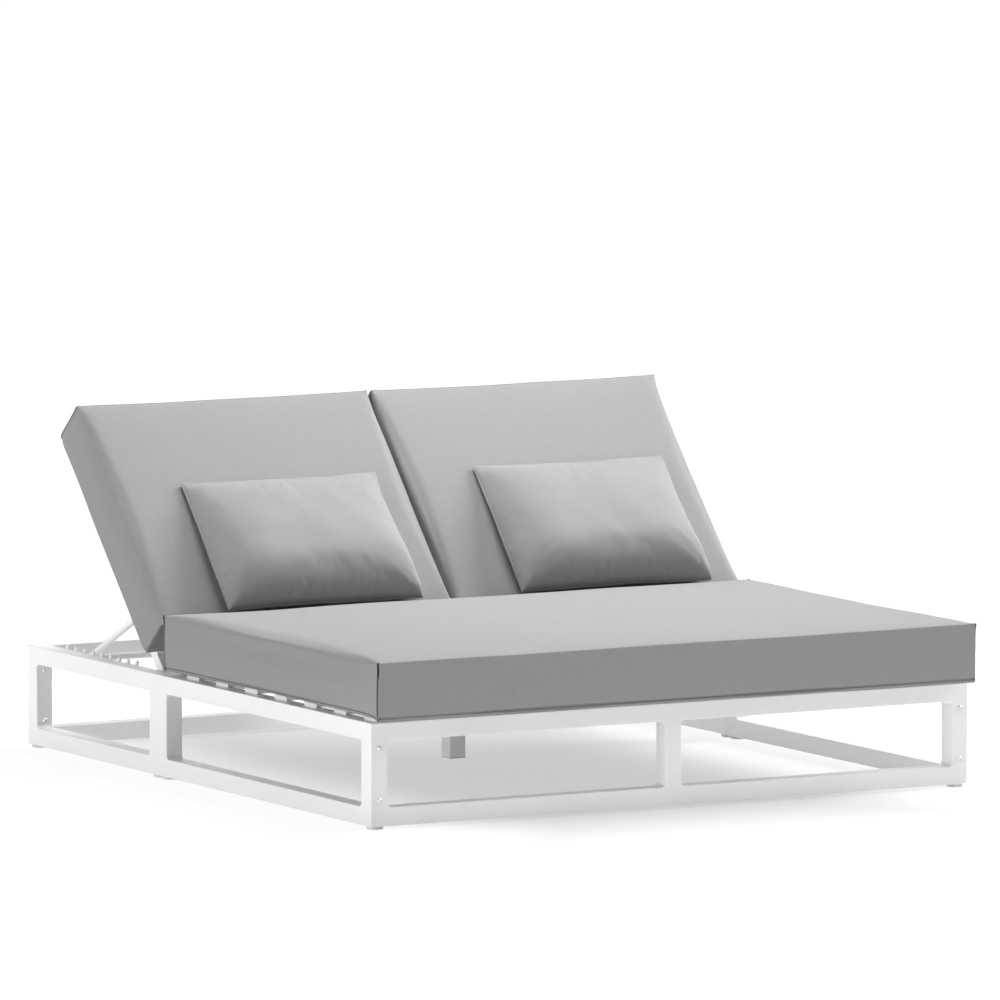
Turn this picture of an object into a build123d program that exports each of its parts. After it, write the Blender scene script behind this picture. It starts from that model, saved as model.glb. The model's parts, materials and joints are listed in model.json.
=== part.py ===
# Double chaise lounger: a white tube frame in two bolted halves, slats, one wide seat cushion,
# two reclining backs propped on toothed racks, two back cushions and two loose pillows.
# X runs across the lounger, the foot end is at -Y, the head end at +Y and +Z is up.
# The origin is on the floor under the middle of the whole lounger.
# Lengths are in millimetres, angles in degrees.
import os
from math import cos, radians, sin, sqrt

from build123d import *

os.makedirs("parts", exist_ok=True)

# Frame
frame_width = 1850.0
foot_half_length = 1218.0
head_half_length = 782.0
frame_top = 286.0
tube = 50.0  # square tube of the posts, rails and beams
tube_edge = 3.0  # rounding along the tube edges
window_corner = 12.0  # rounding inside the panel windows
end_plate = 5.0  # plate that closes a side panel where it meets a corner post

# Glides and centre leg
glide_radius = 22.5
glide_height = 8.0
glide_bevel = 2.0
leg_cap_height = 4.0

# Bolts
bolt_radius = 4.0
bolt_clearance = 0.05
bolt_head_radius = 7.0
bolt_head_height = 4.0
bolt_head_bevel = 2.0
bolt_socket_radius = 2.6
bolt_socket_depth = 2.0
weld_nut_radius = 6.5
weld_nut_length = 8.0
corner_bolt_grip = 30.0  # length of a head corner bolt under its head
seam_bolt_grip = 92.0  # length of a seam bolt under its head

# Seat slats
slat_count = 7
first_slat = 62.0  # from the foot face to the middle of the first slat
last_slat = 148.0  # from the middle of the last slat to the seam
slat_width = 70.0
slat_thickness = 12.5
slat_edge = 3.0
slat_end_inset = 32.0  # from the frame's side face to the slat's end

# Back hinge and rest position
rest_angle = 47.66
hinge_from_seam = 80.0
hinge_drop = 14.0  # from the top of the frame to the hinge axis
hinge_pin_radius = 5.0
hinge_head_radius = 8.0
hinge_head_height = 3.0
running_gap = 0.05  # round a pin that something turns on
head_gap = 0.3  # under the head of such a pin
bracket_thickness = 5.0  # hinge brackets and racks
bracket_half_width = 14.0
bracket_drop = 32.0  # from the hinge axis to the bracket's lower edge

# Back frame
stile_width = 18.0
stile_depth = 30.0
stile_length = 645.0  # from the hinge axis to the upper end
stile_side_gap = 2.0  # from the stile to the bracket and rack
cross_tube = 25.0
lower_tube = 72.0  # from the hinge axis to the lower cross tube
upper_tube = 17.0  # from the upper cross tube to the stile's end
back_slat_count = 5
first_back_slat = 95.0  # from the hinge axis
last_back_slat = 42.0  # to the stile's end
back_slat_width = 66.0
back_slat_thickness = 12.0

# Prop bail
prop_pivot = 220.0  # from the hinge axis, along the stile
foot_bar_radius = 9.5
prop_arm_radius = 9.0
prop_eye_radius = 12.0
prop_eye_margin = 0.5  # the eye's width past the arm, each side
prop_side_gap = 1.5  # from the stile to the prop's arm
prop_foot_gap = 0.5  # from the end of the foot bar to the rack
pivot_pin_radius = 4.5
pivot_head_radius = 7.0
pivot_head_height = 3.0

# Racks
tooth_count = 9
first_tooth = 223.0  # from the seam to the tip of the first tooth
last_tooth = 143.0  # from the tip of the last tooth to the head face
tooth_width = 13.0
tooth_length = 46.0  # between the centres of its round ends
tooth_lean = 18.0
tooth_rise = 11.0  # of the tips above the frame
rack_drop = 49.0  # from the top of the frame to the rack's lower edge
rack_floor_gap = 1.0  # under the foot bar
rack_end = 24.0  # plate past the first and last tooth
rest_tooth = 7  # the foot bar rests against this tooth, counted from 0
foot_bar_drop = 32.0  # from the tips to the middle of the foot bar at rest
foot_to_tip = 12.5  # from the middle of the foot bar to the tip of its tooth

# Seat cushion
seat_overhang = 38.0  # past the foot face
seat_back_gap = 21.1  # from its head end to the lower corner of the back cushions
seat_thickness = 150.0
seat_crown = 12.0
seat_tuck = 6.0
seat_edge = 18.0

# Back cushions
back_gap = 12.6  # between the two
back_side_inset = 5.1  # from the frame's side face to the cushion's side
back_length = 753.0
back_thickness = 147.0
back_start = 43.0  # from the hinge axis to the lower end, along the back
back_crown = 10.0
back_tuck = 6.0
back_edge = 14.0

# Pillows
pillow_shifts = (39.1, 33.9)  # across, from the middle of its back cushion
pillow_width = 602.0
pillow_height = 430.0
pillow_seat_gap = 7.3  # from the seat's upper edge up to its lower seam
pillow_rest_share = 0.87  # height of the back cushion's crown where the pillow leans
pillow_front = 85.0
pillow_behind = 30.3
pillow_seam = 6.0
pillow_tuck = 16.0  # how far the sides pull in between the corners
pillow_end_share = 0.12  # thickness left at the ends of a pillow
pillow_shoulder_shares = (0.55, 0.78, 0.8)  # place, thickness and tuck of the shoulder sections

soft_gap = 0.3  # under a cushion
end_crown_shares = (0.2, 0.3, 0.4)  # of a cushion's crown, left at the three rings of its ends
corner_share = 1 - sqrt(1 / 2)  # how far in a quarter round has its middle
overrun = 5.0  # how far a cutting shape passes what it cuts

# Worked out from the sizes above
frame_length = foot_half_length + head_half_length
foot_y = (seat_overhang - frame_length) / 2
seam_y = foot_y + foot_half_length
head_y = foot_y + frame_length
side_x = frame_width / 2
rail_x = side_x - tube
post_x = side_x - tube / 2
panel_height = frame_top - glide_height
panel_middle = glide_height + panel_height / 2
rail_under = frame_top - tube
rail_middle = frame_top - tube / 2
bolt_inset = window_corner + bolt_head_radius
bolt_heights = (glide_height + tube + bolt_inset, rail_under - bolt_inset)
bolt_hole = bolt_radius + bolt_clearance
slat_top = frame_top + slat_thickness
slat_pitch = (foot_half_length - first_slat - last_slat) / (slat_count - 1)

hinge_y = seam_y + hinge_from_seam
hinge_height = frame_top - hinge_drop
bay_middle = (rail_x + tube / 2) / 2
bay_half = (rail_x - tube / 2) / 2
stile_outer = bay_half - bracket_thickness - stile_side_gap
stile_inner = stile_outer - stile_width
prop_eye_half = prop_arm_radius + prop_eye_margin
arm_x = stile_inner - prop_side_gap - prop_eye_half
back_rise = stile_depth / 2 + back_slat_thickness  # from the hinge axis to the cushion's back
back_slat_pitch = (stile_length - first_back_slat - last_back_slat) / (back_slat_count - 1)
lean_run = cos(radians(rest_angle))
lean_rise = sin(radians(rest_angle))
back_plane = Plane(origin=(0, hinge_y, hinge_height), x_dir=(0, lean_run, lean_rise), z_dir=(1, 0, 0))
pivot_y = hinge_y + prop_pivot * lean_run
pivot_height = hinge_height + prop_pivot * lean_rise
tooth_pitch = (head_half_length - first_tooth - last_tooth) / (tooth_count - 1)
tooth_tip_height = frame_top + tooth_rise
foot_bar_height = tooth_tip_height - foot_bar_drop
foot_bar_y = seam_y + first_tooth + rest_tooth * tooth_pitch - foot_to_tip
prop_run = foot_bar_y - pivot_y
prop_drop = pivot_height - foot_bar_height
prop_length = sqrt(prop_run**2 + prop_drop**2)

back_face = back_rise + soft_gap + back_thickness  # from the hinge axis to the cushion's front
back_width = side_x - back_side_inset - back_gap / 2
back_corner_y = hinge_y + back_start * lean_run - back_face * lean_rise
seat_length = back_corner_y - seat_back_gap - foot_y + seat_overhang
seat_top = slat_top + soft_gap + seat_thickness
seam_rise = back_face + pillow_rest_share * back_crown + pillow_behind + pillow_seam / 2
pillow_start = (seat_top + pillow_seat_gap - hinge_height - seam_rise * lean_run) / lean_rise
sides = {"left": -1, "right": 1}


def keep(piece, name):
    piece.part.label = name
    export_step(piece.part, f"parts/{name}.step")


# Panels: welded frames of square tube with round-cornered windows


def end_panel(face_y, name, bolt_depth):
    # foot or head panel with a centre stile, its corner posts drilled for the bolts
    with BuildPart() as panel:
        with BuildSketch(Plane.XZ.offset(-face_y)):
            with Locations((0, panel_middle)):
                Rectangle(frame_width, panel_height)
            window = rail_x - tube / 2
            with Locations((-bay_middle, panel_middle), (bay_middle, panel_middle)):
                RectangleRounded(window, panel_height - 2 * tube, window_corner, mode=Mode.SUBTRACT)
        extrude(amount=-tube)
        inside = panel.faces().sort_by(Axis.Y)[-1 if face_y < 0 else 0]
        fillet(panel.edges() - inside.outer_wire().edges(), tube_edge)
        start_y = face_y - overrun if face_y < 0 else face_y
        with BuildSketch(Plane.XZ.offset(-start_y)):
            with Locations([(side * post_x, height) for side in (-1, 1) for height in bolt_heights]):
                Circle(bolt_hole)
        extrude(amount=-bolt_depth, mode=Mode.SUBTRACT)
    keep(panel, name)


end_panel(foot_y, "front_panel", tube + 2 * overrun)
end_panel(head_y - tube, "rear_panel", corner_bolt_grip - end_plate)

for side_name, side in sides.items():
    inner_x = side * post_x - tube / 2

    with BuildPart() as foot_side:
        start, end = foot_y + tube, seam_y
        with BuildSketch(Plane.YZ.offset(inner_x)):
            with Locations(((start + end) / 2, panel_middle)):
                Rectangle(end - start, panel_height)
            with Locations(((start + end_plate + end - tube) / 2, panel_middle)):
                window = end - start - tube - end_plate
                RectangleRounded(window, panel_height - 2 * tube, window_corner, mode=Mode.SUBTRACT)
        extrude(amount=tube)
        welded = foot_side.faces().sort_by(Axis.Y)[0].edges()
        fillet(foot_side.edges() - welded, tube_edge)
        # weld nuts behind the end plate take the foot corner bolts
        with BuildSketch(Plane.XZ.offset(-start - end_plate)):
            with Locations([(side * post_x, height) for height in bolt_heights]):
                Circle(weld_nut_radius)
        extrude(amount=-weld_nut_length)
        with BuildSketch(Plane.XZ.offset(-start + overrun)):
            with Locations([(side * post_x, height) for height in bolt_heights]):
                Circle(bolt_hole)
        extrude(amount=-end_plate - weld_nut_length - 2 * overrun, mode=Mode.SUBTRACT)
        with BuildSketch(Plane.XZ.offset(-end - overrun)):
            with Locations([(side * post_x, height) for height in bolt_heights]):
                Circle(bolt_hole)
        extrude(amount=seam_bolt_grip - tube + overrun, mode=Mode.SUBTRACT)
    keep(foot_side, f"front_side_panel_{side_name}")

    with BuildPart() as head_side:
        start, end = seam_y, head_y - tube
        with BuildSketch(Plane.YZ.offset(inner_x)):
            with Locations(((start + end) / 2, panel_middle)):
                Rectangle(end - start, panel_height)
            with Locations(((start + tube + end - end_plate) / 2, panel_middle)):
                window = end - start - tube - end_plate
                RectangleRounded(window, panel_height - 2 * tube, window_corner, mode=Mode.SUBTRACT)
        extrude(amount=tube)
        welded = head_side.faces().sort_by(Axis.Y)[-1].edges()
        fillet(head_side.edges() - welded, tube_edge)
        with BuildSketch(Plane.XZ.offset(-start + overrun)):
            with Locations([(side * post_x, height) for height in bolt_heights]):
                Circle(bolt_hole)
        extrude(amount=-tube - 2 * overrun, mode=Mode.SUBTRACT)
        with BuildSketch(Plane.XZ.offset(-end - overrun)):
            with Locations([(side * post_x, height) for height in bolt_heights]):
                Circle(bolt_hole)
        extrude(amount=end_plate + 2 * overrun, mode=Mode.SUBTRACT)
    keep(head_side, f"rear_side_panel_{side_name}")

# Beams between the panels


def cross_beam(start_y, name):
    with BuildPart() as beam:
        with BuildSketch(Plane.YZ.offset(-rail_x)):
            with Locations((start_y + tube / 2, rail_middle)):
                RectangleRounded(tube, tube, tube_edge)
        extrude(amount=2 * rail_x)
    keep(beam, name)


def centre_beam(start_y, end_y, name):
    with BuildPart() as beam:
        with BuildSketch(Plane.XZ.offset(-start_y)):
            with Locations((0, rail_middle)):
                RectangleRounded(tube, tube, tube_edge)
        extrude(amount=start_y - end_y)
    keep(beam, name)


cross_beam(seam_y - tube, "front_cross_beam")
cross_beam(seam_y, "rear_cross_beam")
centre_beam(foot_y + tube, seam_y - tube, "seat_centre_beam")
centre_beam(seam_y + tube, head_y - tube, "rear_centre_beam")

# Centre leg under the seam and its cap

with BuildPart() as centre_leg:
    with BuildSketch(Plane.XY.offset(leg_cap_height)):
        with Locations((0, seam_y)):
            RectangleRounded(tube, tube, tube_edge)
    extrude(amount=rail_under - leg_cap_height)
keep(centre_leg, "centre_leg")

with BuildPart() as leg_cap:
    with BuildSketch():
        with Locations((0, seam_y)):
            RectangleRounded(tube, tube, tube_edge)
    extrude(amount=leg_cap_height)
keep(leg_cap, "centre_leg_cap")

# Round glides under the posts

glide_rows = {
    "foot": foot_y + tube / 2,
    "seam_front": seam_y - tube / 2,
    "seam_rear": seam_y + tube / 2,
    "head": head_y - tube / 2,
}
for row_name, row_y in glide_rows.items():
    for side_name, side in sides.items():
        with BuildPart() as glide:
            with BuildSketch(Plane((side * post_x, row_y, 0))):
                Circle(glide_radius)
            extrude(amount=glide_height)
            chamfer(glide.edges().sort_by(Axis.Z)[0], glide_bevel)
        keep(glide, f"glide_{row_name}_{side_name}")

# Bolts: button heads with a hexagon socket


def bolts(face_y, outward, grip, name):
    # outward is -1 where the heads look to the foot end, 1 where they look to the head end
    with BuildPart() as group:
        places = [(side * post_x, height) for side in (-1, 1) for height in bolt_heights]
        with BuildSketch(Plane.XZ.offset(-face_y)):
            with Locations(places):
                Circle(bolt_radius)
        extrude(amount=outward * grip)
        with BuildSketch(Plane.XZ.offset(-face_y)):
            with Locations(places):
                Circle(bolt_head_radius)
        extrude(amount=-outward * bolt_head_height)
        rims = group.faces().group_by(Axis.Y)[0 if outward < 0 else -1].edges()
        chamfer(rims, bolt_head_bevel)
        with BuildSketch(Plane.XZ.offset(-face_y - outward * (bolt_head_height - bolt_socket_depth))):
            with Locations(places):
                RegularPolygon(bolt_socket_radius, 6)
        extrude(amount=-outward * (bolt_socket_depth + overrun), mode=Mode.SUBTRACT)
    keep(group, name)


bolts(foot_y, -1, tube + end_plate + weld_nut_length, "front_corner_bolts")
bolts(head_y - tube - end_plate, -1, corner_bolt_grip, "rear_corner_bolts")
bolts(seam_y + tube, 1, seam_bolt_grip, "seam_bolts")

# Seat slats on top of the side rails and the centre beam

for number in range(slat_count):
    with BuildPart() as slat:
        with BuildSketch(Plane.YZ.offset(slat_end_inset - side_x)):
            with Locations((foot_y + first_slat + number * slat_pitch, frame_top + slat_thickness / 2)):
                RectangleRounded(slat_width, slat_thickness, slat_edge)
        extrude(amount=2 * (side_x - slat_end_inset))
    keep(slat, f"seat_slat_{number + 1}")

# Hinge brackets and racks on both sides of each bay

for side_name, side in sides.items():
    plates = {"outer": side * rail_x, "inner": side * tube / 2}
    for place_name, wall_x in plates.items():
        into_bay = -side if place_name == "outer" else side
        with BuildPart() as bracket:
            with BuildSketch(Plane.YZ.offset(wall_x)):
                with Locations((hinge_y, hinge_height - bracket_drop / 2)):
                    Rectangle(2 * bracket_half_width, bracket_drop)
                with Locations((hinge_y, hinge_height)):
                    Circle(bracket_half_width)
                    Circle(hinge_pin_radius + bolt_clearance, mode=Mode.SUBTRACT)
            extrude(amount=into_bay * bracket_thickness)
        keep(bracket, f"hinge_bracket_{side_name}_{place_name}")

        with BuildPart() as rack:
            rack_foot = frame_top - rack_drop
            rack_floor = foot_bar_height - foot_bar_radius - rack_floor_gap
            first_y = seam_y + first_tooth
            last_y = head_y - last_tooth
            tooth_y = tooth_length / 2 * sin(radians(tooth_lean))
            tooth_z = tooth_length / 2 * cos(radians(tooth_lean))
            with BuildSketch(Plane.YZ.offset(wall_x)):
                with Locations(((first_y + last_y) / 2, (rack_foot + rack_floor) / 2)):
                    Rectangle(last_y - first_y + 2 * rack_end, rack_floor - rack_foot)
                for number in range(tooth_count):
                    tip_y = first_y + number * tooth_pitch
                    tip_z = tooth_tip_height - tooth_width / 2
                    with Locations((tip_y + tooth_y, tip_z - tooth_z)):
                        SlotCenterToCenter(tooth_length, tooth_width, rotation=90 + tooth_lean)
                with Locations(((first_y + last_y) / 2, rack_foot - tooth_length / 2)):
                    Rectangle(2 * frame_length, tooth_length, mode=Mode.SUBTRACT)
            extrude(amount=into_bay * bracket_thickness)
        keep(rack, f"rack_{side_name}_{place_name}")

# Soft forms


def ring(plane, low, high, base, top, edge, crown):
    # one closed section of a cushion: flat under, a crown on top and four round corners
    cut = edge * corner_share
    with BuildSketch(plane) as section:
        with BuildLine():
            Line((low + edge, base), (high - edge, base))
            ThreePointArc((high - edge, base), (high - cut, base + cut), (high, base + edge))
            Line((high, base + edge), (high, top - edge))
            ThreePointArc((high, top - edge), (high - cut, top - cut), (high - edge, top))
            ThreePointArc((high - edge, top), ((low + high) / 2, top + crown), (low + edge, top))
            ThreePointArc((low + edge, top), (low + cut, top - cut), (low, top - edge))
            Line((low, top - edge), (low, base + edge))
            ThreePointArc((low, base + edge), (low + cut, base + cut), (low + edge, base))
        make_face()
    return section.sketch.face()


def cushion(plane, middle, width, low, length, base, thickness, edge, crown, tuck, name):
    # rings round off both ends, and the body between them swells to its crown and pulls in at mid-width
    high = low + length
    top = base + thickness
    step = edge * corner_share

    def end_ring(place, inset, share):
        section = plane.offset(middle + place)
        return ring(section, low + inset, high - inset, base + inset, top - inset, edge, crown * share)

    # place from the end, inset of the outline
    rounding = [(0, edge), (step, step), (edge, 0)]
    first = [
        end_ring(place - width / 2, inset, share)
        for (place, inset), share in zip(rounding, end_crown_shares)
    ]
    last = [
        end_ring(width / 2 - place, inset, share)
        for (place, inset), share in zip(reversed(rounding), reversed(end_crown_shares))
    ]
    centre = ring(plane.offset(middle), low + tuck, high - tuck, base, top, edge, crown)
    with BuildPart() as soft:
        loft(sections=first, ruled=True)
        loft(sections=[first[-1], centre, last[0]])
        loft(sections=last, ruled=True)
    keep(soft, name)


cushion(
    Plane(origin=(0, foot_y, 0), x_dir=(0, 1, 0), z_dir=(1, 0, 0)),
    0,
    frame_width,
    -seat_overhang,
    seat_length,
    slat_top + soft_gap,
    seat_thickness,
    seat_edge,
    seat_crown,
    seat_tuck,
    "seat_cushion",
)

# Each reclining back

for (side_name, side), pillow_shift in zip(sides.items(), pillow_shifts):
    bay = side * bay_middle
    cushion_middle = side * (back_gap + back_width) / 2

    with BuildPart() as back_frame:
        for stile_start in (bay - stile_outer, bay + stile_inner):
            with BuildSketch(back_plane.offset(stile_start)):
                Circle(stile_depth / 2)
                with Locations((stile_length / 2, 0)):
                    Rectangle(stile_length, stile_depth)
            extrude(amount=stile_width)
        with BuildSketch(back_plane.offset(bay - stile_inner)):
            with Locations((lower_tube, 0), (stile_length - upper_tube, 0)):
                RectangleRounded(cross_tube, cross_tube, slat_edge)
        extrude(amount=2 * stile_inner)
        with BuildSketch(back_plane.offset(bay - stile_outer - overrun)):
            Circle(hinge_pin_radius + running_gap)
            with Locations((prop_pivot, 0)):
                Circle(pivot_pin_radius + bolt_clearance)
        extrude(amount=2 * (stile_outer + overrun), mode=Mode.SUBTRACT)
    keep(back_frame, f"back_frame_{side_name}")

    with BuildPart() as back_slats:
        with BuildSketch(back_plane.offset(bay - stile_outer)):
            for number in range(back_slat_count):
                slat_place = first_back_slat + number * back_slat_pitch
                with Locations((slat_place, (stile_depth + back_slat_thickness) / 2)):
                    RectangleRounded(back_slat_width, back_slat_thickness, slat_edge)
        extrude(amount=2 * stile_outer)
    keep(back_slats, f"back_slats_{side_name}")

    with BuildPart() as hinge_pins:
        for end in (-1, 1):
            with BuildSketch(back_plane.offset(bay + end * bay_half)):
                Circle(hinge_pin_radius)
            extrude(amount=-end * (bay_half - stile_inner + head_gap))
            with BuildSketch(back_plane.offset(bay + end * (stile_inner - head_gap))):
                Circle(hinge_head_radius)
            extrude(amount=-end * hinge_head_height)
    keep(hinge_pins, f"hinge_pins_{side_name}")

    with BuildPart() as prop:
        foot_half = bay_half - bracket_thickness - prop_foot_gap
        with BuildSketch(Plane(origin=(bay - foot_half, foot_bar_y, foot_bar_height), z_dir=(1, 0, 0))):
            Circle(foot_bar_radius)
        extrude(amount=2 * foot_half)
        for end in (-1, 1):
            arm_middle = bay + end * arm_x
            along_arm = (0, prop_run, -prop_drop)
            with BuildSketch(Plane(origin=(arm_middle, pivot_y, pivot_height), z_dir=along_arm)):
                Circle(prop_arm_radius)
            extrude(amount=prop_length)
            eye_start = (arm_middle - prop_eye_half, pivot_y, pivot_height)
            with BuildSketch(Plane(origin=eye_start, z_dir=(1, 0, 0))):
                Circle(prop_eye_radius)
            extrude(amount=2 * prop_eye_half)
        with BuildSketch(Plane(origin=(bay - bay_half, pivot_y, pivot_height), z_dir=(1, 0, 0))):
            Circle(pivot_pin_radius + running_gap)
        extrude(amount=2 * bay_half, mode=Mode.SUBTRACT)
    keep(prop, f"prop_{side_name}")

    with BuildPart() as pivot_pins:
        arm_inner = arm_x - prop_eye_half
        for end in (-1, 1):
            pin_start = (bay + end * stile_outer, pivot_y, pivot_height)
            with BuildSketch(Plane(origin=pin_start, z_dir=(1, 0, 0))):
                Circle(pivot_pin_radius)
            extrude(amount=-end * (stile_outer - arm_inner + head_gap))
            head_start = (bay + end * (arm_inner - head_gap), pivot_y, pivot_height)
            with BuildSketch(Plane(origin=head_start, z_dir=(1, 0, 0))):
                Circle(pivot_head_radius)
            extrude(amount=-end * pivot_head_height)
    keep(pivot_pins, f"prop_pivot_pins_{side_name}")

    cushion(
        back_plane,
        cushion_middle,
        back_width,
        back_start,
        back_length,
        back_rise + soft_gap,
        back_thickness,
        back_edge,
        back_crown,
        back_tuck,
        f"back_cushion_{side_name}",
    )

    # pillow: a seam line all round, a full front and a flatter back against the cushion
    with BuildPart() as pillow:
        shoulder, fullness, pull_in = pillow_shoulder_shares
        half = pillow_width / 2
        shapes = [
            (-1, pillow_end_share, 0),
            (-shoulder, fullness, pull_in),
            (0, 1, 1),
            (shoulder, fullness, pull_in),
            (1, pillow_end_share, 0),
        ]
        for place, full, pull in shapes:
            low = pillow_start + pillow_tuck * pull
            high = pillow_start + pillow_height - pillow_tuck * pull
            front = seam_rise + pillow_seam / 2
            behind = seam_rise - pillow_seam / 2
            with BuildSketch(back_plane.offset(cushion_middle + pillow_shift + place * half)):
                with BuildLine():
                    Line((low, behind), (low, front))
                    belly = ((low + high) / 2, front + pillow_front * full)
                    ThreePointArc((low, front), belly, (high, front))
                    Line((high, front), (high, behind))
                    hollow = ((low + high) / 2, behind - pillow_behind * full)
                    ThreePointArc((high, behind), hollow, (low, behind))
                make_face()
        loft()
    keep(pillow, f"pillow_{side_name}")
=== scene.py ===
import json
from math import cos, pi, radians, sin

import bpy
import numpy as np
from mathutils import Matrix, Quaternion, Vector, noise


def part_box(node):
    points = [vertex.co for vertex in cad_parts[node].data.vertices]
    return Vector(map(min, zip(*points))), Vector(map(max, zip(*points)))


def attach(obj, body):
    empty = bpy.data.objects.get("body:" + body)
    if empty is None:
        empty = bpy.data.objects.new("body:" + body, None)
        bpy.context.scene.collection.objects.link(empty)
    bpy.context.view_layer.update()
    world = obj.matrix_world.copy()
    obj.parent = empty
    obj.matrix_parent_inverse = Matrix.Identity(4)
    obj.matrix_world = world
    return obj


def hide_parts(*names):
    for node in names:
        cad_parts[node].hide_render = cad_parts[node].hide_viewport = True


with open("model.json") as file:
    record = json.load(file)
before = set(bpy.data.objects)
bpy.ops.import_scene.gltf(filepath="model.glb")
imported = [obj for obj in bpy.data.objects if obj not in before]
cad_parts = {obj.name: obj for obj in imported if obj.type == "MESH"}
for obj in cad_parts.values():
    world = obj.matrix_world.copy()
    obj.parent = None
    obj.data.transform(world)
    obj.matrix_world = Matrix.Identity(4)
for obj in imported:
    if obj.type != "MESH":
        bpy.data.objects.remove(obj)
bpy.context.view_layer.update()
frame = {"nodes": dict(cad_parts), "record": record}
scene = bpy.context.scene
scene.view_settings.view_transform = "Standard"
nodes = frame["nodes"]
print("frame loaded")

# Camera: the photograph's own viewpoint, a long lens from the front left
cameraPlan = {
    "place": (-16.3066, -29.1867, 4.3537),
    "yaw": -0.50988,  # radians, turned towards the left side
    "pitch": 0.107669,  # looking down
    "roll": 0.00081,
    "lens": 440.26,  # millimetres, as the sensor
    "sensor": 36,
    "farthest": 200.0,
}


def placeCamera(plan):
    level = cos(plan["pitch"])
    back = Vector((sin(plan["yaw"]) * level, -cos(plan["yaw"]) * level, sin(plan["pitch"])))
    bpy.ops.object.camera_add(location=plan["place"])
    camera = bpy.context.object
    camera.name = "photoCamera"
    camera.rotation_mode = "QUATERNION"
    camera.rotation_quaternion = (-back).to_track_quat("-Z", "Y") @ Quaternion((0, 0, 1), plan["roll"])
    camera.data.sensor_width = plan["sensor"]
    camera.data.lens = plan["lens"]
    camera.data.clip_end = plan["farthest"]
    scene.camera = camera


placeCamera(cameraPlan)
print("camera placed")


# Shader nodes: an input takes a plain value or the output of another node
def addNode(tree, kind, inputs=None, **settings):
    node = tree.nodes.new("ShaderNode" + kind)
    for name, value in settings.items():
        setattr(node, name, value)
    for name, value in (inputs or {}).items():
        if isinstance(value, bpy.types.NodeSocket):
            tree.links.new(value, node.inputs[name])
        else:
            node.inputs[name].default_value = value
    return node


def calculate(tree, operation, *values):
    return addNode(tree, "Math", dict(enumerate(values)), operation=operation).outputs[0]


def mapRange(tree, value, source, target, **settings):
    ends = {"From Min": source[0], "From Max": source[1], "To Min": target[0], "To Max": target[1]}
    return addNode(tree, "MapRange", {"Value": value, **ends}, **settings).outputs["Result"]


def whiteWhenSeen(tree):
    # 1 for rays that show the background, also in metal and glass
    rays = addNode(tree, "LightPath").outputs
    seen = calculate(tree, "MAXIMUM", rays["Is Camera Ray"], rays["Is Glossy Ray"])
    return calculate(tree, "MAXIMUM", seen, rays["Is Transmission Ray"])


# Lamps: a big soft one above the seat, a broad sun on the right and a weaker cool one low on the left.
# A sun's strength of 1 lights a white surface that faces it to white.
studioPlan = {
    "ambient": 0.09,
    "overhead": {"place": (0.5, -0.2, 3.4), "size": (2.2, 1.7), "power": 80.0, "tint": (1, 0.997, 0.99)},
    "right": {"from": (1, -0.03, 0.6), "spread": 28, "strength": 1.5, "tint": (1, 0.995, 0.985)},
    "left": {"from": (-1, -0.06, 0.2), "spread": 50, "strength": 0.69, "tint": (0.955, 0.98, 1)},
    "sunDistance": 6,
}


def hangSun(name, plan):
    toward = Vector(plan["from"])
    bpy.ops.object.light_add(type="SUN", location=toward.normalized() * studioPlan["sunDistance"])
    lamp = bpy.context.object
    lamp.name = name
    lamp.rotation_mode = "QUATERNION"
    lamp.rotation_quaternion = (-toward).to_track_quat("-Z", "Y")
    lamp.data.angle = radians(plan["spread"])
    lamp.data.energy = plan["strength"] * pi
    lamp.data.color = plan["tint"]


def hangSoftbox(name, plan):
    bpy.ops.object.light_add(type="AREA", location=plan["place"])
    lamp = bpy.context.object
    lamp.name = name
    lamp.data.shape = "RECTANGLE"
    lamp.data.size, lamp.data.size_y = plan["size"]
    lamp.data.energy = plan["power"]
    lamp.data.color = plan["tint"]


def lightStudio(plan):
    world = bpy.data.worlds.new("studioAir")
    scene.world = world
    world.use_nodes = True
    tree = world.node_tree
    air = tree.nodes["Background"]
    air.inputs["Color"].default_value = (1, 1, 1, 1)
    strength = mapRange(tree, whiteWhenSeen(tree), (0.0, 1.0), (plan["ambient"], 1.0))
    tree.links.new(strength, air.inputs["Strength"])
    hangSoftbox("overheadLamp", plan["overhead"])
    hangSun("rightLamp", plan["right"])
    hangSun("leftLamp", plan["left"])


lightStudio(studioPlan)

# Floor: one face for the rays that light the lounger, another for those that show the floor
floorPlan = {
    "size": 90.0,
    "height": -0.0005,
    "colour": (0.84, 0.84, 0.84, 1),  # what lights the underside
    # the face that lights the lounger also glows by this much: painted fill light on the lounger's underside
    "lift": 0.14,
    "shown": (0.21, 0.21, 0.21, 1),
    # the shown face glows less in a box under the lounger, which paints shade there on top of its real shadow,
    # and more away from it, where the floor turns white
    "glow": (0.53, 0.87),  # under the lounger and away from it
    "reach": (0.0, 0.6),  # the glow grows over these distances from a box round the middle
    "boxHalf": (0.36, 1.0),
    "boxMiddle": (0.0, -0.12),
}


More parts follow.
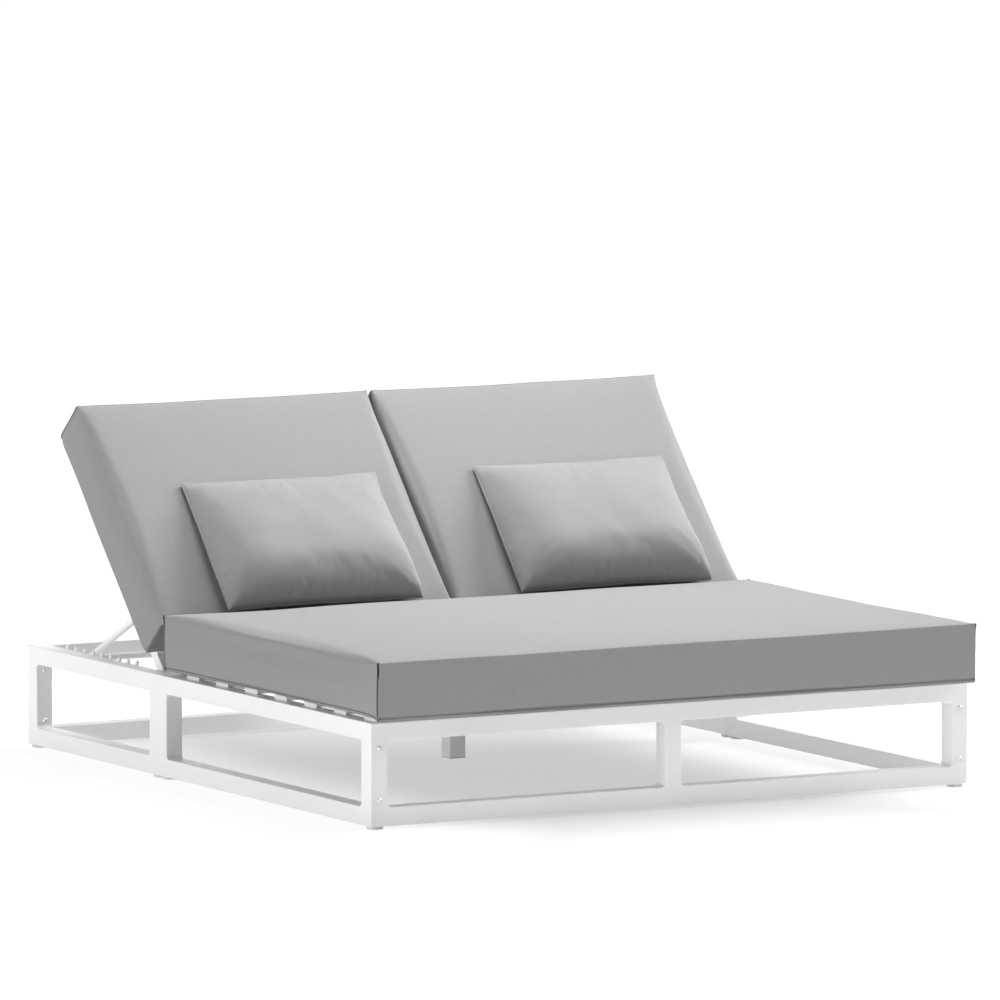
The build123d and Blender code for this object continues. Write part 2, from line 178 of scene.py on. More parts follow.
def layFloor(plan):
    bpy.ops.mesh.primitive_plane_add(size=plan["size"], location=(0, 0, plan["height"]))
    floor = bpy.context.object
    floor.name = "studioFloor"
    paint = bpy.data.materials.new("studioFloor")
    paint.use_nodes = True
    tree = paint.node_tree
    tree.nodes.clear()
    axes = addNode(tree, "SeparateXYZ", {0: addNode(tree, "TexCoord").outputs["Object"]}).outputs
    past = []
    for axis, half, middle in zip(axes, plan["boxHalf"], plan["boxMiddle"]):
        off = calculate(tree, "ABSOLUTE", calculate(tree, "SUBTRACT", axis, middle))
        past.append(calculate(tree, "SUBTRACT", off, half))
    away = calculate(tree, "MAXIMUM", *past)
    # lower glow under the lounger, higher away from it: painted shade under the lounger
    glow = mapRange(tree, away, plan["reach"], plan["glow"], interpolation_type="SMOOTHSTEP")
    faces = []
    # the first face glows by the lift, painted fill light on the lounger, and the second by the glow, which
    # paints shade under it
    for colour, strength in ((plan["colour"], plan["lift"]), (plan["shown"], glow)):
        matt = addNode(tree, "BsdfDiffuse", {"Color": colour}).outputs[0]
        light = addNode(tree, "Emission", {"Strength": strength}).outputs[0]
        faces.append(addNode(tree, "AddShader", {0: matt, 1: light}).outputs[0])
    mix = addNode(tree, "MixShader", {"Fac": whiteWhenSeen(tree), 1: faces[0], 2: faces[1]})
    addNode(tree, "OutputMaterial", {"Surface": mix.outputs[0]})
    floor.data.materials.append(paint)


layFloor(floorPlan)
print("studio lit")

# Finishes: each goes between a deep and a pale tone. Scales are those of its tone, its roughness and its grain,
# and a bump is a depth in metres and a strength.
noiseSpan = (0.3, 0.7)  # where most values of a noise lie
coatPlan = {
    "pale": (0.905, 0.905, 0.91, 1),
    "deep": (0.875, 0.876, 0.882, 1),
    "scales": (5, 60, 700),
    "grainDetail": 2,
    "rough": (0.36, 0.48),
    "bump": (0.0003, 0.35),
}
clothPlan = {
    "pale": (0.34, 0.34, 0.336, 1),
    "deep": (0.298, 0.298, 0.295, 1),
    "thread": 0.0017,  # width of a warp and a weft thread together
    "waveLength": 0.314159,  # of a wave texture with a scale of 1
    "slub": (26, 900),  # uneven threads per metre, along and across
    "slubSpan": (0.36, 0.64),
    "patches": 30,
    "rough": (0.84, 0.96),
    "bump": (0.0006, 0.5),
}
plainPlan = {"grainDetail": 3, "bump": (0.0002, 0.3)}
# the darker cloths that paint shade in the seams and along the hem share this grain and roughness
shadeLinePlan = {**plainPlan, "scales": (500, 1500, 4000), "rough": (0.9, 0.98)}
weltPlan = {
    **plainPlan,
    "pale": (0.38, 0.38, 0.374, 1),
    "deep": (0.32, 0.32, 0.315, 1),
    "scales": (400, 1200, 3200),
    "rough": (0.85, 0.95),
}
# deep painted shade for the grooves of the end seams
deepShadePlan = {**shadeLinePlan, "pale": (0.15, 0.15, 0.148, 1), "deep": (0.11, 0.11, 0.108, 1)}
# light painted shade for the hem band, and for the seam grooves of the back cushions
lightShadePlan = {**shadeLinePlan, "pale": (0.26, 0.26, 0.257, 1), "deep": (0.22, 0.22, 0.217, 1)}
plasticPlan = {
    **plainPlan,
    "pale": (0.76, 0.76, 0.75, 1),
    "deep": (0.66, 0.66, 0.655, 1),
    "scales": (120, 360, 960),
    "rough": (0.45, 0.6),
}
steelPlan = {
    **plainPlan,
    "pale": (0.8, 0.8, 0.8, 1),
    "deep": (0.62, 0.62, 0.62, 1),
    "scales": (500, 1500, 4000),
    "rough": (0.28, 0.42),
}


def startMaterial(name, **sockets):
    material = bpy.data.materials.new(name)
    material.use_nodes = True
    shader = material.node_tree.nodes["Principled BSDF"]
    for socket, value in sockets.items():
        shader.inputs[socket.replace("_", " ")].default_value = value
    return material, material.node_tree, shader


def mottle(tree, place, scale, detail=3):
    spots = addNode(tree, "TexNoise", {"Vector": place, "Scale": scale, "Detail": detail, "Roughness": 0.55})
    return spots.outputs["Fac"]


def dress(tree, shader, plan, tone, toneSpan, patches, height):
    # the tone, the roughness and the relief of a finish
    ramp = addNode(tree, "ValToRGB", {"Fac": tone})
    low, high = ramp.color_ramp.elements
    low.position, low.color = toneSpan[0], plan["deep"]
    high.position, high.color = toneSpan[1], plan["pale"]
    tree.links.new(ramp.outputs["Color"], shader.inputs["Base Color"])
    tree.links.new(mapRange(tree, patches, noiseSpan, plan["rough"]), shader.inputs["Roughness"])
    depth, strength = plan["bump"]
    bump = addNode(tree, "Bump", {"Height": height, "Distance": depth, "Strength": strength})
    tree.links.new(bump.outputs["Normal"], shader.inputs["Normal"])


def plainFinish(name, plan, **sockets):
    material, tree, shader = startMaterial(name, **sockets)
    place = addNode(tree, "TexCoord").outputs["Object"]
    toneScale, roughScale, grainScale = plan["scales"]
    grain = mottle(tree, place, grainScale, plan["grainDetail"])
    tone, patches = mottle(tree, place, toneScale), mottle(tree, place, roughScale)
    dress(tree, shader, plan, tone, noiseSpan, patches, grain)
    return material


def wovenCloth(name, plan):
    # plain weave on the piece's own map, in metres, with uneven threads
    material, tree, shader = startMaterial(name, Sheen_Weight=0.09, Sheen_Roughness=0.45, Specular_IOR_Level=0.05)
    own = addNode(tree, "UVMap", uv_map="cloth").outputs["UV"]
    threads = {"Vector": own, "Scale": plan["waveLength"] / plan["thread"], "Distortion": 0.6, "Detail": 1.0}
    waves = [addNode(tree, "TexWave", threads, bands_direction=axis).outputs["Fac"] for axis in "XY"]
    slubs = []
    for along in (plan["slub"], plan["slub"][::-1]):
        turned = addNode(tree, "Mapping", {"Vector": own, "Scale": (*along, 1)})
        slubs.append(mottle(tree, turned.outputs["Vector"], 1, 2))
    weave = calculate(tree, "MULTIPLY", *waves)
    uneven = calculate(tree, "ADD", *slubs)
    tone = calculate(tree, "MULTIPLY", uneven, 0.5)
    patches = mottle(tree, own, plan["patches"])
    dress(tree, shader, plan, tone, plan["slubSpan"], patches, calculate(tree, "ADD", weave, uneven))
    return material


powderCoat = plainFinish("powderCoat", coatPlan, Specular_IOR_Level=0.55, Coat_Weight=0.7, Coat_Roughness=0.3)
cushionCloth = wovenCloth("cushionCloth", clothPlan)
pillowCloth = wovenCloth("pillowCloth", clothPlan)
weltCloth = plainFinish("weltCloth", weltPlan, Sheen_Weight=0.2, Specular_IOR_Level=0.2)
# a darker cloth that paints shade in the seam grooves
deepShadeCloth = plainFinish("deepShadeCloth", deepShadePlan, Specular_IOR_Level=0.1)
# a darker cloth that paints lighter shade along the hem and in the back cushions' seams
lightShadeCloth = plainFinish("lightShadeCloth", lightShadePlan, Specular_IOR_Level=0.1)
glidePlastic = plainFinish("glidePlastic", plasticPlan)
boltSteel = plainFinish("boltSteel", steelPlan, Metallic=1.0)

finishes = {
    "white_frame": powderCoat,
    "cushion_fabric": cushionCloth,
    "pillow_fabric": pillowCloth,
    "glide_plastic": glidePlastic,
    "fastener_steel": boltSteel,
}


def dressNodes():
    slots = {part["node"]: part["material_slot"] for part in frame["record"]["subparts"]}
    for name, node in nodes.items():
        node.data.materials.clear()
        node.data.materials.append(finishes[slots[name]])


dressNodes()
print("CAD nodes dressed")


# Soft goods: every cushion starts as a box of cloth squares in its own coordinates,
# x across, y along and z up from its back, and is put in place at the end
tiny = 1e-9  # keeps a length from being nothing
onFace = 0.999999  # of a half size: a point further out lies on a face
onCut = 1e-4  # metres: a point as near to a cut lies on it
seedStep = (3.1, 1.7, 0.9)  # moves a noise from one seed to the next


def deselectAll():
    if bpy.context.object and bpy.context.object.mode != "OBJECT":
        bpy.ops.object.mode_set(mode="OBJECT")
    bpy.ops.object.select_all(action="DESELECT")


def cutLines(half, step, near):
    # places of the cuts across a side: close ones by both edges, then even steps
    inner = half - near[-1]
    count = max(1, round(2 * inner / step))
    even = [-inner + 2 * inner * number / count for number in range(count + 1)]
    return sorted(even + [side * (half - place) for place in near[:-1] for side in (-1, 1)])


def boxOfCloth(name, size, lines):
    deselectAll()
    bpy.ops.mesh.primitive_cube_add(size=1, location=(0, 0, 0))
    piece = bpy.context.object
    piece.name = name
    piece.scale = size
    bpy.ops.object.transform_apply(location=True, rotation=True, scale=True)
    bpy.ops.object.mode_set(mode="EDIT")
    for axis, places in enumerate(lines):
        normal = [float(index == axis) for index in range(3)]
        for place in places:
            bpy.ops.mesh.select_all(action="SELECT")
            bpy.ops.mesh.bisect(plane_co=[place * part for part in normal], plane_no=normal)
    bpy.ops.mesh.select_all(action="SELECT")
    bpy.ops.uv.cube_project(cube_size=1.0, correct_aspect=False)
    bpy.ops.object.mode_set(mode="OBJECT")
    piece.data.uv_layers[0].name = "cloth"
    return piece


def readPoints(piece):
    points = np.zeros(len(piece.data.vertices) * 3)
    piece.data.vertices.foreach_get("co", points)
    return points.reshape(-1, 3)


def writePoints(piece, points):
    piece.data.vertices.foreach_set("co", np.asarray(points, float).ravel())
    piece.data.update()


def blowUp(piece, plan, cap, pinned):
    # cloth simulation: pressure inside, no gravity, with a cap on how far a point may go
    start = readPoints(piece)
    deselectAll()
    piece.select_set(True)
    bpy.context.view_layer.objects.active = piece
    cloth = piece.modifiers.new("Cloth", "CLOTH")
    cloth.point_cache.frame_end = plan["frames"]
    rules = cloth.settings
    rules.quality = plan["quality"]
    rules.mass = 0.3
    rules.tension_stiffness = rules.compression_stiffness = plan["stiffness"]
    rules.shear_stiffness = plan["stiffness"] / 3
    rules.bending_stiffness = plan["bending"]
    rules.air_damping = 2
    rules.use_pressure = True
    rules.uniform_pressure_force = plan["pressure"]
    rules.shrink_min = plan["shrink"]
    rules.effector_weights.gravity = 0
    cloth.collision_settings.use_collision = False
    group = piece.vertex_groups.new(name="seams")
    group.add([int(index) for index in pinned], 1, "REPLACE")
    rules.vertex_group_mass = group.name
    for number in range(1, plan["frames"] + 1):
        scene.frame_set(number)
    bpy.ops.object.modifier_apply(modifier=cloth.name)
    scene.frame_set(1)
    moved = readPoints(piece) - start
    length = np.linalg.norm(moved, axis=1, keepdims=True) + tiny
    writePoints(piece, start + moved * (cap * np.tanh(length / cap) / length))


def smoothOver(piece):
    deselectAll()
    piece.select_set(True)
    bpy.context.view_layer.objects.active = piece
    bpy.ops.object.modifier_add(type="SUBSURF")
    finer = piece.modifiers[-1]
    finer.levels = finer.render_levels = 1
    bpy.ops.object.modifier_apply(modifier=finer.name)
    bpy.ops.object.shade_smooth()


def pointNormals(piece):
    normals = np.zeros(len(piece.data.vertices) * 3)
    piece.data.vertices.foreach_get("normal", normals)
    return normals.reshape(-1, 3)


def layWaves(piece, waves, seed):
    # slow waves in the filling, as height in metres and size in metres
    points = readPoints(piece)
    lift = np.zeros(len(points))
    for height, size in waves:
        shift = Vector([seed * step for step in seedStep])
        lift += [height * noise.noise(Vector(point) / size + shift) for point in points]
    writePoints(piece, points + pointNormals(piece) * lift[:, None])


# A fold is a line from one point to another with a depth and a width, and it has a low ridge on each side
foldPlan = {"startsAt": 0.1, "ridge": 0.5, "ridgeAway": 1.7}  # shares of its own rise and fall, depth and width


def pressFolds(piece, folds):
    points = readPoints(piece)
    normals = pointNormals(piece)
    lift = np.zeros(len(points))
    first, away = foldPlan["startsAt"], foldPlan["ridgeAway"]
    for start, end, depth, width in folds:
        start, end = np.array(start), np.array(end)
        run = end - start
        share = np.clip((points - start) @ run / (run @ run), 0, 1)
        off = np.linalg.norm(points - start - share[:, None] * run, axis=1)
        fade = np.sin(np.pi * np.clip(share * (1 - first) + first, 0, 1)) ** 0.5
        hollow = np.exp(-((off / width) ** 2))
        ridge = foldPlan["ridge"] * np.exp(-(((off - away * width) / width) ** 2))
        lift -= depth * fade * (hollow - ridge)
    writePoints(piece, points + normals * lift[:, None])


def roundSection(points, halfX, halfZ, radius):
    # rounds the edges between the sides across x and the sides across z
    offX = np.abs(points[:, 0]) - (halfX - radius)
    offZ = np.abs(points[:, 2]) - (halfZ - radius)
    near = (offX > 0) & (offZ > 0)
    share = np.where(near, np.maximum(offX, offZ) / np.maximum(np.hypot(offX, offZ), tiny), 1)
    made = points.copy()
    made[:, 0] = np.where(near, np.sign(points[:, 0]) * (halfX - radius + offX * share), points[:, 0])
    made[:, 2] = np.where(near, np.sign(points[:, 2]) * (halfZ - radius + offZ * share), points[:, 2])
    return made


# what the three box cushions share
coverPlan = {
    "near": (0.0012, 0.0038, 0.0066, 0.0125, 0.024),  # cuts behind the edges; the second is the end seam
    "nearHem": (0.002, 0.0065, 0.009, 0.0115, 0.019),  # cuts above the base; the third is the hem
    "hemBand": 0.0026,  # half the width of the hem's shade
    "edgeFade": 0.045,  # how soon the long edges sharpen towards an end
    "sideCrown": 0.4,  # share of the crown along the sides
    "sidePower": 6,  # how close to the sides their swell stays
    "topGroove": 0.3,  # share of the seam's depth across the top
    "tuck": 0.004,
    "earSize": 0.012,
    "earRise": 0.8,  # share of an ear's reach
    "endClear": 0.0015,  # the ends stay this far inside the size
    "fill": 0.8,
    "cloth": {
        "frames": 12,
        "quality": 4,
        "stiffness": 15,
        "bending": 0.5,
        "pressure": 2.0,
        "shrink": -0.0005,
    },
}


def shapeCover(box, shares, plan):
    # the filled shape that the simulation starts from
    across, along, up = shares
    halfWidth, halfLength, halfThick = [size / 2 for size in plan["size"]]
    # the long edges are round, and sharpen towards the end panels
    atSide = np.where(across < 0, *plan["edge"])
    atEnd = np.where(up < 0, *plan["endEdge"])
    sharpened = np.exp(-(halfLength - np.abs(box[:, 1])) / plan["edgeFade"])
    points = roundSection(box, halfWidth, halfThick, atEnd + (atSide - atEnd) * (1 - sharpened))
    if plan["endRound"]:
        # the ends are rounded too, towards the cushion's back
        turned = roundSection(points[:, [1, 0, 2]], halfLength, halfThick, plan["endRound"])
        points = np.where(box[:, 2:] < 0, turned[:, [1, 0, 2]], points)
    level = plan["sideCrown"]
    crown = plan["crown"] * np.clip(1 - along**2, 0, 1) * (level + (1 - level) * (1 - across**2))
    points[:, 2] += crown * np.clip(up, 0, 1)
    points[:, 1] -= along * plan["tuck"] * (1 - across**2)
    left, right = plan["sideSwell"]
    swell = np.where(across < 0, -left, right) * np.abs(across) ** plan["sidePower"]
    points[:, 0] += swell * (1 - along**2) * (1 - up**4)
    return points


def offSeams(box, plan):
    # how far each point lies from the end seams and from the hem
    _, length, thick = plan["size"]
    offSeam = np.abs(length / 2 - np.abs(box[:, 1]) - plan["near"][1])
    return offSeam, np.abs(box[:, 2] + thick / 2 - plan["nearHem"][2])


def sewCover(points, box, shares, plan):
    across, along, up = shares
    onSide, onEnd, onTopOrBase = np.abs(shares) > onFace
    halfSize = np.array(plan["size"]) / 2
    offSeam, offHem = offSeams(box, plan)
    # end seams: a groove round the cover just behind each end, with the end's own rim standing out
    inward = np.zeros_like(points)
    inward[:, 0] = np.where(onSide, -np.sign(across), 0)
    inward[:, 2] = np.where(~onSide & onTopOrBase, -np.sign(up), 0)
    left, right = plan["seamDepth"]
    depth = np.where(onSide, np.where(across < 0, left, right), min(left, right) * plan["topGroove"])
    points += np.where(((offSeam < onCut) & ~onEnd)[:, None], inward * depth[:, None], 0)
    # hem: a pressed line above the base, all round, and a roll under it
    outward = np.zeros_like(points)
    outward[:, 0] = np.where(onSide & ~onEnd, np.sign(across), 0)
    outward[:, 1] = np.where(onEnd, np.sign(along), 0)
    points -= np.where((offHem < onCut)[:, None], outward * plan["hemDepth"], 0)
    underHem = box[:, 2] + halfSize[2] < plan["nearHem"][1] + onCut
    points += np.where(underHem[:, None], outward * plan["hemRoll"], 0)
    # the base hangs a little at one end
    end, left, right, reach = plan["droop"]
    hang = (left + (right - left) * (across + 1) / 2) * np.exp(-(1 - end * along) * halfSize[1] / reach)
    points[:, 2] -= hang * np.clip(-up, 0, 1)
    # small ears where the seams meet at the four upper corners
    for sideX in (-1, 1):
        for sideY in (-1, 1):
            away = np.linalg.norm(box - halfSize * (sideX, sideY, 1), axis=1)
            reached = np.exp(-((away / plan["earSize"]) ** 2))[:, None]
            points += reached * np.array((sideX, sideY, plan["earRise"])) * plan["ear"]
    return points


def boxCushion(name, plan):
    # the cover wraps over the two sides, and separate panels close the two ends
    near = plan["near"]
    cuts = zip(plan["size"], (near, near, plan["nearHem"]))
    piece = boxOfCloth(name, plan["size"], [cutLines(size / 2, plan["step"], places) for size, places in cuts])
    box = readPoints(piece)
    shares = (box / (np.array(plan["size"]) / 2)).T
    onSide, onEnd, onTopOrBase = np.abs(shares) > onFace
    writePoints(piece, shapeCover(box, shares, plan))
    pinned = onEnd & (onSide | onTopOrBase) | (shares[2] < -onFace)
    blowUp(piece, plan["cloth"], plan["cap"], np.flatnonzero(pinned))
    writePoints(piece, sewCover(readPoints(piece), box, shares, plan))
    # painted shade: the grooves of the end seams and the band along the hem take darker cloths
    offSeam, offHem = offSeams(box, plan)
    for face in piece.data.polygons:
        corners = list(face.vertices)
        inSeam = onSide[corners].all() and (offSeam[corners] < near[1]).all()
        inHem = not inSeam and (offHem[corners] < plan["hemBand"]).all()
        face.material_index = 1 if inSeam else 2 if inHem else 0
    smoothOver(piece)
    layWaves(piece, plan["waves"], plan["seed"])
    pressFolds(piece, plan["folds"])
    points = readPoints(piece)
    ends = plan["size"][1] / 2 - plan["endClear"]
    points[:, 1] = np.clip(points[:, 1], -ends, ends)
    writePoints(piece, points)
    return piece


reclinePlan = {"hinge": (0, 0.317, 0.272), "angle": 47.66}  # degrees from flat


def leanBack(points, middle, start, rise):
    # onto a reclining back, with the start and the rise measured from its hinge
    angle = radians(reclinePlan["angle"])
    along, out = np.array((0, cos(angle), sin(angle))), np.array((0, -sin(angle), cos(angle)))
    placed = np.array(reclinePlan["hinge"]) + (points[:, 1:2] + start) * along + (points[:, 2:3] + rise) * out
    placed[:, 0] = points[:, 0] + middle
    return placed


def finishSoft(piece, points, cloths, body, node):
    writePoints(piece, points)
    kept = [face.material_index for face in piece.data.polygons]  # clearing the cloths resets these
    piece.data.materials.clear()
    for cloth in cloths:
        piece.data.materials.append(cloth)
    piece.data.polygons.foreach_set("material_index", kept)
    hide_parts(node)
    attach(piece, body)


# Pairs are for the left and the right side, and for the base and the top of an end
seatPlan = {
    **coverPlan,
    "size": (1.852, 1.217, 0.15),
    "step": 0.018,
    "edge": (0.019, 0.019),
    "endEdge": (0.005, 0.004),
    "crown": 0.011,
    "endRound": 0.0,
    "sideSwell": (-0.002, -0.002),
    "seamDepth": (0.011, 0.006),
    "hemDepth": 0.006,
    "hemRoll": 0.0012,
    "droop": (-1, 0.0085, 0.011, 0.03),  # which end, how far left and right, and over what length
    "ear": 0.003,
    "cap": 0.006,
    "waves": ((0.0035, 0.36), (0.0006, 0.11)),
    "seed": 3,
    "folds": (
        ((0.913, -0.607, 0.0), (0.83, -0.607, -0.06), 0.0035, 0.009),
        ((0.913, -0.607, -0.032), (0.86, -0.607, -0.063), 0.002, 0.007),
    ),
    "lift": 0.0005,  # off the slats
}


def makeSeat():
    piece = boxCushion("seatCushion", seatPlan)
    low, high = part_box("seat_cushion")
    points = readPoints(piece)
    points[:, 1] += (low[1] + high[1]) / 2
    points[:, 2] += low[2] + seatPlan["size"][2] / 2 + seatPlan["lift"]
    # on the seat, the grooves of the end seams take the deep painted shade and the hem band the light one
    cloths = (cushionCloth, deepShadeCloth, lightShadeCloth)
    finishSoft(piece, points, cloths, "root", "seat_cushion")
    print("seat cushion made")


makeSeat()

backPlan = {
    **coverPlan,
    "size": (0.915, 0.7555, 0.1475),
    "step": 0.0155,
    "endEdge": (0.02, 0.006),
    "crown": 0.009,
    "endRound": 0.034,
    "seamDepth": (0.006, 0.006),
    "hemDepth": 0.004,
    "hemRoll": 0.001,
    "droop": (1, 0.008, 0.008, 0.07),
    "ear": 0.002,
    "cap": 0.005,
    "waves": ((0.003, 0.3), (0.0006, 0.1)),
    "seed": 5,
    "start": 0.044,  # from the hinge to the lower end
    "rise": 0.0278,  # from the hinge to its back
    "middle": 0.4631,
    "innerSwell": 0.005,
    "innerEdge": 0.008,
    "outerSwell": -0.002,
    "outerEdge": 0.021,
    # the lower end's cloth is gathered at its outer corner: from and to, across and up, then depth and width
    "endFolds": (((0.452, 0.05), (0.36, -0.01)), ((0.452, 0.005), (0.38, -0.045))),
    "foldSize": (0.004, 0.007),
}


def makeBack(sideName, side):
    # the two swell towards each other: the left one's inner side is its right one
    swell = (backPlan["outerSwell"], backPlan["innerSwell"])[::-side]
    edge = (backPlan["outerEdge"], backPlan["innerEdge"])[::-side]
    lowEnd = -backPlan["size"][1] / 2
    folds = []
    for line in backPlan["endFolds"]:
        start, end = [(side * across, lowEnd, up) for across, up in line]
        folds.append((start, end, *backPlan["foldSize"]))
    plan = dict(backPlan, seed=backPlan["seed"] + side, folds=folds, sideSwell=swell, edge=edge)
    piece = boxCushion("backCushion" + sideName.capitalize(), plan)
    _, length, thick = plan["size"]
    points = readPoints(piece)
    points = leanBack(points, side * plan["middle"], plan["start"] + length / 2, plan["rise"] + thick / 2)
    # on the back cushions the grooves of the end seams take the light painted shade, and the hem band keeps the
    # plain cloth
    cloths = (cushionCloth, lightShadeCloth, cushionCloth)
    body, node = "back_pad_" + sideName, "back_cushion_" + sideName
    finishSoft(piece, points, cloths, body, node)
    print("back cushion made,", sideName)


makeBack("left", -1)
makeBack("right", 1)

pillowPlan = {
    "cut": (0.632, 0.46, 0.006),  # the cover before it is filled
    "size": (0.606, 0.434),  # between its filled corners
    "step": 0.0085,
    "near": (0.004,),
    "start": 0.0535,
    "seamRise": 0.2163,
    "front": 0.101,
    "behind": 0.03,
    "topLean": (0.019, 0.011, -0.019),  # the upper seam lies nearer to the back cushion
    "lowLean": (0.013, 0.013, -0.018),  # and the lower one is tucked in under the belly
    "leanPower": 1.4,
    "tuckedShare": 0.32,  # of its height
    "backFace": 0.1935,  # nothing of it goes behind this height over the hinge
    # where its back rolls out under the lower seam: how far, how deep behind, how thick and how high
    "roll": (0.014, 0.012, 0.009, 0.05),
    "middle": {"left": -0.424, "right": 0.497},
    "stuffing": 0.066,  # half the thickness that the cover is filled to
    "belly": 0.3,  # share of its height where it is fullest
    "dome": 2.2,  # a higher power keeps the belly broader
    "steepness": {"under": 0.5, "over": 0.8, "ends": 0.6},
    "endPower": (3, 6, 2.5),  # at the top, what it gains towards the bottom, and how fast
    "pullIn": (0.014, 0.026),  # shares that the ends and the long sides pull in at their middles
    "wobble": (0.002, 9),  # height and fineness
    "cloth": {
        "frames": 16,
        "quality": 5,
        "stiffness": 8,
        "bending": 0.05,
        "pressure": 3.0,
        "shrink": -0.011,
    },
    "cap": 0.009,
    "evened": 50,  # rounds that part its shape from the wrinkles of the simulation
    "wrinkles": 0.45,
    "waves": ((0.003, 0.12), (0.0008, 0.045)),
    "seed": 11,
    "welt": 0.0024,
    "fill": 0.7,
}


def stuffPillow(points, plan):
    # the filled shape that the cover starts from: the filling has sunk towards the lower seam
    cut, steepness = plan["cut"], plan["steepness"]
    across = np.clip(np.abs(points[:, 0]) / (cut[0] / 2), 0, 1)
    along = np.clip(points[:, 1] / (cut[1] / 2), -1, 1)
    height = (1 + along) / 2
    belly = plan["belly"]
    under = (1 - np.clip((belly - height) / belly, 0, 1) ** plan["dome"]) ** steepness["under"]
    over = (1 - np.clip((height - belly) / (1 - belly), 0, 1) ** plan["dome"]) ** steepness["over"]
    # the ends are steep below and slope further up
    least, gain, speed = plan["endPower"]
    ends = (1 - across ** (least + gain * (1 - height) ** speed)) ** steepness["ends"]
    swell = under * over * ends
    made = points.copy()
    made[:, 2] += np.sign(points[:, 2]) * swell * plan["stuffing"]
    made[:, 0] *= 1 - plan["pullIn"][0] * (1 - along**2) * across**2
    made[:, 1] *= 1 - plan["pullIn"][1] * (1 - across**2) * along**2
    return made


def broadPart(piece, values, rounds):
    # a move without its wrinkles
    ends = np.zeros(len(piece.data.edges) * 2, int)
    piece.data.edges.foreach_get("vertices", ends)
    first, second = ends.reshape(-1, 2).T
    count = np.bincount(ends, minlength=len(values))[:, None] + 1
    for _ in range(rounds):
        total = values.copy()
        np.add.at(total, first, values[second])
        np.add.at(total, second, values[first])
        values = total / count
    return values


# Folds of a pillow: places and tips are shares of its half sizes, and the rest is in metres
gatherPlan = {
    "seed": 21,
    "count": 26,
    "depth": (0.0004, 0.0014),
    "seam": {
        "places": (-0.85, 0.85),
        "tip": 0.95,
        "drift": (-0.02, 0.02),
        "length": (0.025, 0.06),
        "width": (0.007, 0.012),
        "heights": (0.03, 0.07),
    },
    "endEvery": 4,  # one of so many is at an end
    "end": {
        "places": (-0.85, 0.2),
        "tip": 0.97,
        "drift": (-0.015, 0.015),
        "length": (0.02, 0.045),
        "width": 0.005,
        "heights": (0.004, 0.03),
    },
    "corner": {
        "turns": (0.2, 0.6),
        "tip": 0.97,
        "spread": 0.25,
        "length": 0.085,
        "rise": (0.03, 0.08),
        "heights": (0.004, 0.045),
        "size": (0.0035, 0.009),  # depth and width
    },
    "crease": {
        "places": (-0.82, -0.7, -0.56),
        "tip": 0.99,
        "length": 0.04,
        "rise": 0.012,
        "heights": (0.0, 0.04),
        "size": (0.004, 0.006),
    },
}


def gathersFor(size, plan, side):
    # soft short folds up from the lower seam, small ones in from the ends and two out of each lower corner
    width, height = size[0] / 2, size[1] / 2
    picks = np.random.default_rng(plan["seed"] + side)
    folds = []
    for number in range(plan["count"]):
        depth = picks.uniform(*plan["depth"])
        if number % plan["endEvery"] == plan["endEvery"] - 1:
            kind = plan["end"]
            low, high = kind["heights"]
            edge = picks.choice((-1, 1))
            place = picks.uniform(*kind["places"]) * height
            reach = edge * (width - picks.uniform(*kind["length"]))
            end = (reach, place + picks.uniform(*kind["drift"]), high)
            folds.append(((edge * width * kind["tip"], place, low), end, depth * 2, kind["width"]))
        else:
            kind = plan["seam"]
            low, high = kind["heights"]
            place = picks.uniform(*kind["places"]) * width
            end = (place + picks.uniform(*kind["drift"]), -height + picks.uniform(*kind["length"]), high)
            folds.append(((place, -height * kind["tip"], low), end, depth, picks.uniform(*kind["width"])))
    kind = plan["corner"]
    low, high = kind["heights"]
    first, more = kind["rise"]
    for edge in (-1, 1):
        for turn in kind["turns"]:
            tip = (edge * width * kind["tip"], -height * (kind["tip"] - turn * kind["spread"]), low)
            end = (edge * (width - kind["length"]), -height + first + more * turn, high)
            folds.append((tip, end, *kind["size"]))
    # the left end is creased above its lower corner
    kind = plan["crease"]
    low, high = kind["heights"]
    for place in kind["places"]:
        tip = (-width * kind["tip"], place * height, low)
        end = (-width + kind["length"], place * height + kind["rise"], high)
        folds.append((tip, end, *kind["size"]))
    return folds


def makeWelt(name, points, radius):
    line = bpy.data.curves.new(name, "CURVE")
    line.dimensions = "3D"
    line.bevel_depth = radius
    line.bevel_resolution = 2
    spline = line.splines.new("POLY")
    spline.points.add(len(points) - 1)
    spline.use_cyclic_u = True
    for knot, point in zip(spline.points, points):
        knot.co = (*point, 1)
    welt = bpy.data.objects.new(name, line)
    scene.collection.objects.link(welt)
    deselectAll()
    welt.select_set(True)
    bpy.context.view_layer.objects.active = welt
    bpy.ops.object.convert(target="MESH")
    welt = bpy.context.object
    bpy.ops.object.shade_smooth()
    return welt


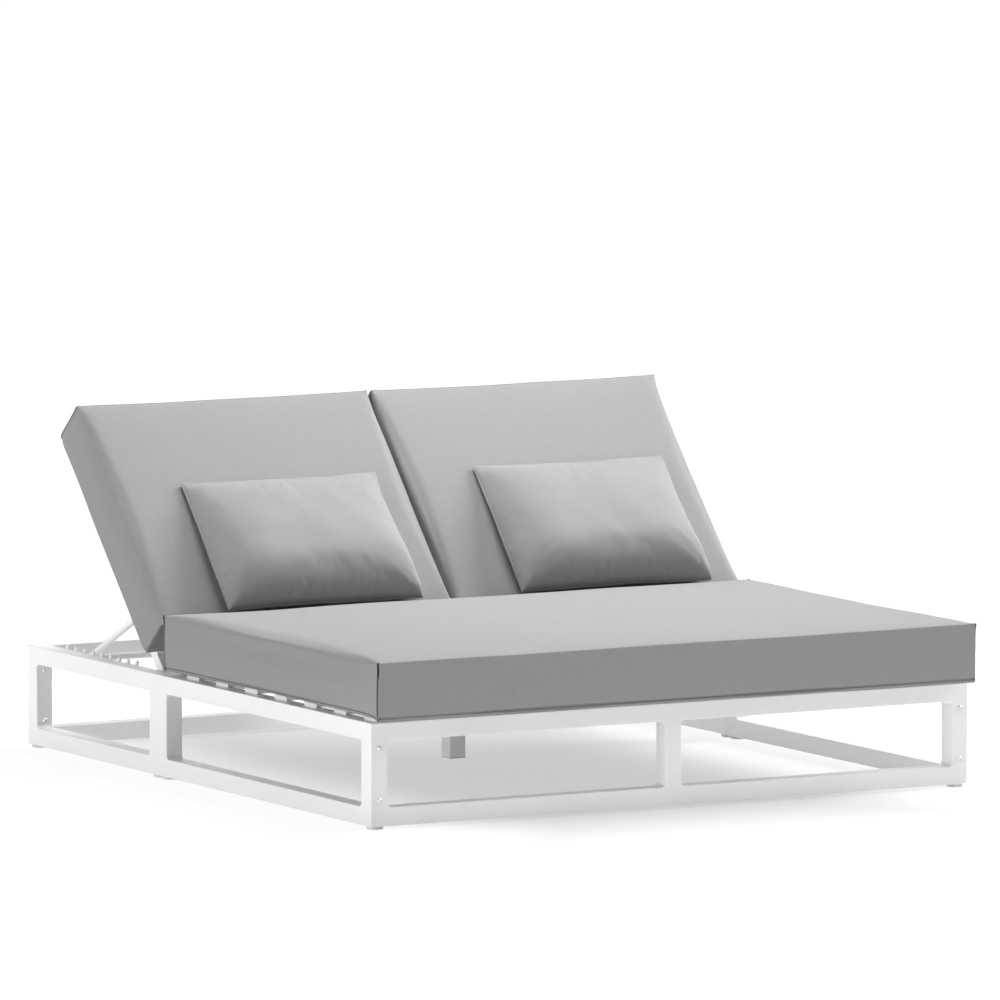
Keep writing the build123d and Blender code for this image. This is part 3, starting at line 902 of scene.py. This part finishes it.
def makePillow(sideName, side):
    plan = pillowPlan
    cut = plan["cut"]
    half = plan["size"][1] / 2
    lines = [cutLines(size / 2, plan["step"], plan["near"]) for size in cut[:2]] + [[0]]
    piece = boxOfCloth("pillow" + sideName.capitalize(), cut, lines)
    box = readPoints(piece)
    # the rim's own order round the pillow
    rim = np.flatnonzero(np.abs(box[:, 2]) < onCut)
    rim = rim[np.argsort(np.arctan2(box[rim, 1] / cut[1], box[rim, 0] / cut[0]))]
    wobble, fineness = plan["wobble"]
    shift = Vector((side * 4.0, 7.0, 0))
    box[:, 2] += wobble * np.array([noise.noise(Vector(point) * fineness + shift) for point in box])
    stuffed = stuffPillow(box, plan)
    writePoints(piece, stuffed)
    blowUp(piece, plan["cloth"], plan["cap"], rim)
    moved = readPoints(piece) - stuffed
    points = stuffed + (moved - broadPart(piece, moved, plan["evened"])) * plan["wrinkles"]
    low, high = points.min(axis=0), points.max(axis=0)
    print("pillow blown up to", np.round(high - low, 3))
    points[:, :2] -= (low[:2] + high[:2]) / 2
    points[:, 0] *= plan["size"][0] / (high[0] - low[0])
    points[:, 1] *= plan["size"][1] / (high[1] - low[1])
    points[:, 2] -= points[rim, 2].mean()
    front, behind = points[:, 2].max(), -points[:, 2].min()
    points[:, 2] *= np.where(points[:, 2] > 0, plan["front"] / front, plan["behind"] / behind)
    # the back's roll under the lower seam
    out, depth, thickness, rise = plan["roll"]
    under = np.exp(-(((points[:, 2] + depth) / thickness) ** 2)) * (points[:, 2] < 0)
    lower = np.clip(1 - (points[:, 1] + half) / rise, 0, 1)
    reach = np.clip(1 - (np.abs(points[:, 0]) / (plan["size"][0] / 2)) ** 6, 0, 1)
    points[:, 1] -= out * under * lower * reach
    writePoints(piece, points)

    def lean(points):
        # the top lies against the back cushion
        rise = np.clip((points[:, 1:2] + half) / (2 * half), 0, 1)
        under = np.clip(1 - rise / plan["tuckedShare"], 0, 1)
        leaned, tucked = rise ** plan["leanPower"], under ** plan["leanPower"]
        moved = points + leaned * np.array(plan["topLean"]) + tucked * np.array(plan["lowLean"])
        moved[:, 2] = np.maximum(moved[:, 2], plan["backFace"] - plan["seamRise"])
        return leanBack(moved, plan["middle"][sideName], plan["start"] + half, plan["seamRise"])

    rimPoints = lean(points[rim])
    smoothOver(piece)
    layWaves(piece, plan["waves"], plan["seed"] + side)
    pressFolds(piece, gathersFor(plan["size"], gatherPlan, side))
    points = lean(readPoints(piece))
    body, node = "back_pad_" + sideName, "pillow_" + sideName
    finishSoft(piece, points, (pillowCloth,), body, node)
    welt = makeWelt("pillowWelt" + sideName.capitalize(), rimPoints, plan["welt"])
    welt.data.materials.append(weltCloth)
    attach(welt, body)
    print("pillow made,", sideName)


makePillow("left", -1)
makePillow("right", 1)
